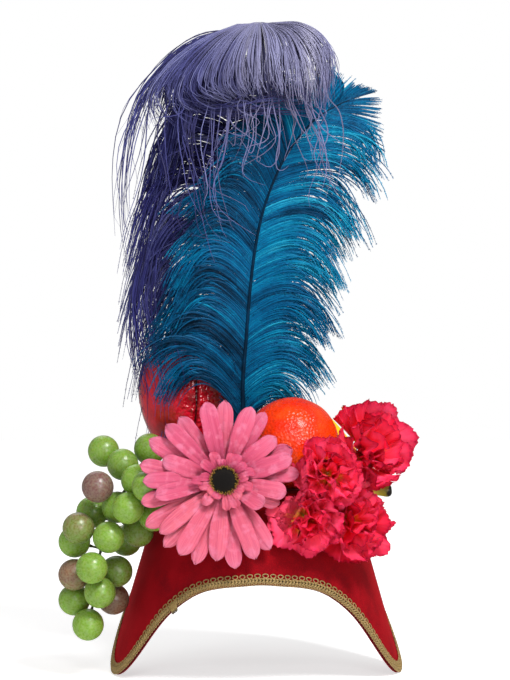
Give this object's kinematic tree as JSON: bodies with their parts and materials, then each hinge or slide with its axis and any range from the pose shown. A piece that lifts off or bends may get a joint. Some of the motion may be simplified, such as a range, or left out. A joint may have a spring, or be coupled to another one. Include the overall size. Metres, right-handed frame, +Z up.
{
  "type": "fruit hat",
  "caption": "Arched stiff cap with side flaps and braid edging, its flat crown piled with fruit, a hanging bunch of grapes, silk flowers and tall plumes.",
  "frame": {"origin": "on the head's axis at brow level, 10.6 mm below the top of the arch cut over the face, where the head holds the cap", "axes": "+Z up through the crown, -Y out of the face side, +X to the viewer's right"},
  "size_m": [0.246, 0.2093, 0.4538],
  "materials": {
    "velvet_red": "deep red velvet on stiff felt",
    "gold_braid": "old gold gimp braid",
    "orange_peel": "dimpled peel with a soft gloss",
    "banana_yellow": "satin, olive towards the tip",
    "apple_red": "glossy lacquered red",
    "wood_plain": "plain",
    "gerbera_pink": "pressed silk cloth",
    "gerbera_heart": "dark flocked heart",
    "carnation_red": "thin silk cloth with pinked edges",
    "calyx_green": "moulded, yellow green",
    "plume_teal": "dyed ostrich feather",
    "plume_violet": "dyed ostrich feather",
    "stem_brown": "moulded green brown",
    "grape_green": "soft bloomed skin"
  },
  "bodies": {
    "root": {"cap": "velvet_red", "trim": "gold_braid", "orange": "orange_peel", "banana": "banana_yellow", "red_apple": "apple_red", "apple_pick": "wood_plain", "gerbera_outer": "gerbera_pink", "gerbera_inner": "gerbera_pink", "gerbera_collar": "gerbera_pink", "gerbera_disc": "gerbera_heart", "gerbera_calyx": "calyx_green", "carnation_top": "carnation_red", "carnation_front": "carnation_red", "carnation_low": "carnation_red", "carnation_side": "carnation_red", "calyx_top": "calyx_green", "calyx_front": "calyx_green", "calyx_low": "calyx_green", "calyx_side": "calyx_green", "teal_plume": "plume_teal", "violet_plume": "plume_violet", "grape_stem": "stem_brown", "grape_1": "grape_green", "grape_2": "grape_green", "grape_3": "grape_green", "grape_4": "grape_green", "grape_5": "grape_green", "grape_6": "grape_green", "grape_7": "grape_green", "grape_8": "grape_green", "grape_9": "grape_green", "grape_10": "grape_green", "grape_11": "grape_green", "grape_12": "grape_green", "grape_13": "grape_green", "grape_14": "grape_green", "grape_15": "grape_green", "grape_16": "grape_green", "grape_17": "grape_green", "grape_18": "grape_green", "grape_19": "grape_green", "grape_20": "grape_green", "grape_21": "grape_green", "grape_22": "grape_green"}
  },
  "joints": []
}
